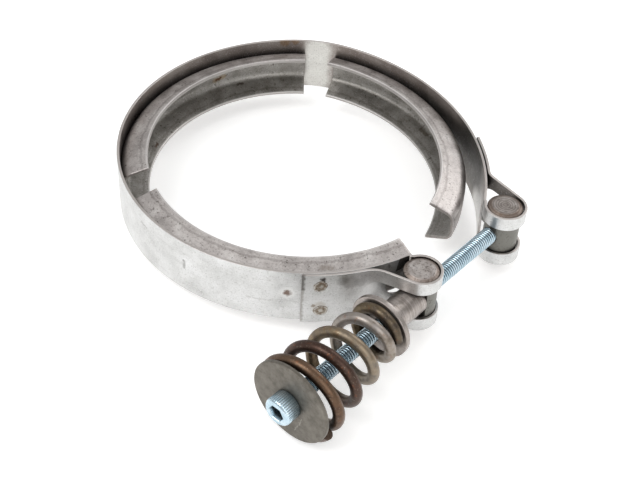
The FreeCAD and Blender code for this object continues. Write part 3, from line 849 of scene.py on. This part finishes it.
def thread_points():
    """Shank from inside the head to the tip, and how deep in the groove each point is. Each row of points
    follows the helix, so it lies a share of the pitch further on as it turns, and the ends are cut square.
    The radius is a triangle wave along the pitch, cut flat at crest and root by a gain and a drop, and
    shrinks at the bevelled tip."""
    start, end = -1.0, SCREW_LENGTH
    rows = np.arange(start - PITCH, end + PITCH / ROWS_PER_TURN, PITCH / ROWS_PER_TURN)[:, None]
    angle = np.linspace(0, TURN, THREAD_COLUMNS)[None]
    along = np.clip(rows + PITCH * angle / TURN, start, end)
    phase = (along / PITCH - angle / TURN) % 1.0
    wave = np.clip(np.abs(2 * phase - 1) * FLANK_GAIN - ROOT_FLAT, 0, 1)
    radius = np.minimum(THREAD_R - THREAD_DEPTH * (1 - wave), THREAD_R - TIP_BEVEL + (end - along))
    radius[[0, -1]] = 0.0
    x = SCREW_X + radius * np.sin(angle)
    y = HEAD_Y + along + 0 * angle
    z = radius * np.cos(angle)
    return np.stack([x, y, z], axis=-1), 1 - wave


# %% The head
HEAD_R = 5.0
HEAD_LENGTH = 6.0
TEETH, COLUMNS_PER_TOOTH = 40, 8
KNURL_DEPTH = 0.2
HEX_HALF = 2.5
SOCKET_DEPTH = 3.0


def head_points():
    """Head from the socket's floor, up its six walls, over the bevelled face and down the knurled side
    to the underside, and how deep each point lies between the knurl's teeth and in the socket, which the
    zinc paints as shade. A hexagon's radius is half its width over the cosine of the angle from a flat."""
    angle = np.linspace(0, TURN, TEETH * COLUMNS_PER_TOOTH + 1)[None]
    flat = (angle + math.pi / 6) % (math.pi / 3) - math.pi / 6
    hexagon = HEX_HALF / np.cos(flat)
    tooth = 0.5 + 0.5 * np.cos(angle * TEETH)
    rows = [(0 * hexagon, SOCKET_DEPTH), (hexagon, SOCKET_DEPTH), (hexagon, 0.25), (hexagon + 0.2, 0.0)]
    # The socket's floor and walls get a depth too, so the zinc paints them dark as shade in the recess.
    deep = [0 * hexagon + share for share in (0.75, 0.75, 0.3, 0.0)]
    for radius, depth, knurl in ((4.05, 0.0, 0), (4.25, 0.06, 0), (4.75, 0.55, 0), (4.86, 0.75, 0.4),
                                 (HEAD_R, 1.0, 1), (HEAD_R, 5.4, 1), (4.9, 5.8, 0.4),
                                 (4.75, HEAD_LENGTH, 0), (0.0, HEAD_LENGTH, 0)):
        rows.append((radius - KNURL_DEPTH * knurl * (1 - tooth), depth))
        deep.append(knurl * (1 - tooth) * 0.8)
    radius = np.vstack([row[0] + 0 * angle for row in rows])
    depth = np.array([row[1] for row in rows])[:, None]
    x = SCREW_X + radius * np.sin(angle)
    y = HEAD_Y - HEAD_LENGTH + depth + 0 * angle
    z = radius * np.cos(angle)
    return np.stack([x, y, z], axis=-1), np.vstack(deep)


# %% The zinc and the whole screw


def zinc_material():
    """Blue passivated zinc: bright and cool and a little milky. The thread's grooves, the knurl and the
    socket are painted slate as shade, and corners get painted shade too.
    """
    material, tree, shader, place = metal("blue_passivated_zinc", 0.9, 0.25)
    base = add(tree, "ShaderNodeValToRGB", {"Fac": speckle(tree, place, 3.0, 3.0)}, stops=[
        (0.3, "#A8C0CC"), (0.5, "#BED3DF"), (0.75, "#D8E6EE")])
    groove = add(tree, "ShaderNodeAttribute", output="Fac", attribute_name="groove")
    # The grooves of the thread, the knurl and the socket are painted darker, as the shade in them.
    base = stain(tree, base, groove, 0.4, 1.0, 0.55, "#4A6472")
    # Corners of the screw, such as the thread inside the spring, are painted darker as shade.
    base = painted_corner_shade(tree, base, 5.0, 0.85, 0.35, 0.85, "#22292B")
    tree.links.new(base, shader.inputs["Base Color"])
    return material


shank, groove = thread_points()
head, knurl = head_points()
screw_faces = np.vstack([grid_faces(*shank.shape[:2]), grid_faces(*head.shape[:2]) + shank.size // 3])
screw = new_piece("zinc_plated_screw", np.vstack([shank.reshape(-1, 3), head.reshape(-1, 3)]), screw_faces,
                  "closing_screw", 50.0, zinc_material(),
                  {"groove": np.concatenate([groove.ravel(), knurl.ravel()])})
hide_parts("screw")

# %% [markdown]
# ## The conical spring
# Round wire wound on a cone, and tempered afterwards: heat leaves brown, straw and grey patches. A curve
# with a round bevel could draw it, but the tint follows the wire, and a grid of points can carry how far
# along it each point is. The wire's middle is a helix whose radius and height grow with the same share.

# %% The wire's middle line
WIRE_R = 1.95
BIG_R, SMALL_R = 13.9, 8.3
SPRING_TURNS = 4.9
FIRST_TOP = 0.67
FLAT_START, FLAT_END, PITCH_RAMP = 0.32, 0.33, 0.5
SEAT_GAP = 0.1
START_Y = HEAD_Y + WASHER_T + SEAT_GAP + WIRE_R
END_Y = FLANGE_Y - SEAT_GAP - WIRE_R
BIG_SHIFT = np.array([0.6, 0, -0.8])
SMALL_SHIFT = np.array([0.7, 0, 1.0])


def risen(turn):
    """Height in turns of full pitch: nothing on the flat coil, a parabola, then a straight rise."""
    def eased(past):
        ramp = np.clip(past, 0, None) ** 2 / (2 * PITCH_RAMP)
        return np.where(past < PITCH_RAMP, ramp, past - PITCH_RAMP / 2)
    return eased(turn - FLAT_START) - eased(turn - SPRING_TURNS + FLAT_END + PITCH_RAMP)


def wire_middle(turn):
    """Point on the wire's middle line: a circle whose radius and centre move with the rise."""
    share = (risen(turn) / risen(np.array(SPRING_TURNS)))[:, None]
    radius = BIG_R + (SMALL_R - BIG_R) * share
    angle = TURN * (turn[:, None] - FIRST_TOP)
    height = START_Y + (END_Y - START_Y) * share
    shift = BIG_SHIFT * (1 - share) + SMALL_SHIFT * share
    ring = np.hstack([SCREW_X + radius * np.sin(angle), height, radius * np.cos(angle)])
    return ring + shift


# %% The wire's skin


def wire_circles(middle, around):
    """Directions of circles square to a middle line, of length 1. The first is the screw's axis made square
    to the line, and the second is square to both."""
    forward = np.gradient(middle, axis=0)
    forward /= np.linalg.norm(forward, axis=1, keepdims=True)
    axis = np.array([0.0, 1.0, 0.0])
    first = axis - forward * (forward @ axis)[:, None]
    first /= np.linalg.norm(first, axis=1, keepdims=True)
    second = np.cross(forward, first)
    angle = np.linspace(0, TURN, around + 1)[None, :, None]
    return first[:, None] * np.cos(angle) + second[:, None] * np.sin(angle)


# %% Tempered wire


def spring_material():
    """Tempered spring wire: an oxide skin that goes from brown through straw to grey, and pale scuffs."""
    material, tree, shader, place = metal("tempered_spring_wire", 0.75, 0.36)
    turn = add(tree, "ShaderNodeAttribute", output="Fac", attribute_name="turn")
    cloud = speckle(tree, place, 3.0, 5.0)
    shift = add(tree, "ShaderNodeMapRange", {"Value": cloud, "From Min": 0.3, "From Max": 0.7,
                                             "To Min": -0.05, "To Max": 0.05})
    wobble = add(tree, "ShaderNodeMath", {0: shift, 1: turn}, operation="ADD")
    base = add(tree, "ShaderNodeValToRGB", {"Fac": wobble}, stops=[
        (0.0, "#5F5046"), (0.1, "#65503F"), (0.2, "#5E4736"), (0.3, "#46332B"), (0.4, "#4B3930"),
        (0.5, "#7C6C55"), (0.62, "#8D8376"), (0.74, "#9A938E"), (0.88, "#7A6A50"), (1.0, "#4F463C")])
    base = stain(tree, base, cloud, 0.5, 0.7, 0.5, "#3B302A")
    base = stain(tree, base, speckle(tree, place, 0.7, 3.0), 0.58, 0.74, 0.35, "#A79B8D")
    base = stain(tree, base, speckle(tree, place, 1.6, 3.0), 0.6, 0.7, 0.35, "#8A4F2C")
    # Where the coils face each other and the screw, the wire is painted darker as shade.
    base = painted_corner_shade(tree, base, 7.0, 0.8, 0.35, 0.8, "#17110E")
    tree.links.new(base, shader.inputs["Base Color"])
    rough = add(tree, "ShaderNodeMapRange", {"Value": cloud, "From Min": 0.3, "From Max": 0.7,
                                             "To Min": 0.28, "To Max": 0.48})
    tree.links.new(rough, shader.inputs["Roughness"])
    raised = add(tree, "ShaderNodeBump", {"Height": cloud, "Distance": 0.08 * MM, "Strength": 1.0})
    tree.links.new(raised, shader.inputs["Normal"])
    return material


# %% The whole spring
AROUND = 24
STEPS_PER_TURN = 64
BROKEN_EDGE = 0.25
turns = np.linspace(0, SPRING_TURNS, int(SPRING_TURNS * STEPS_PER_TURN) + 1)
middle = wire_middle(turns)
last = len(turns) - 1
ends = np.concatenate([[0, 0], np.arange(last + 1), [last, last]])
wire_radius = np.full(len(ends), WIRE_R)
wire_radius[[0, -1]] = 0.0
wire_radius[[1, -2]] = WIRE_R - BROKEN_EDGE
circles = wire_circles(middle, AROUND)
wire_points = middle[ends][:, None] + circles[ends] * wire_radius[:, None, None]
wire_turn = np.broadcast_to((ends / last)[:, None], wire_points.shape[:2])
spring = new_piece("tempered_spring", wire_points, grid_faces(*wire_points.shape[:2]), "clamp",
                   50.0, spring_material(), {"turn": wire_turn})
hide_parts("conical_spring")
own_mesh(spring)
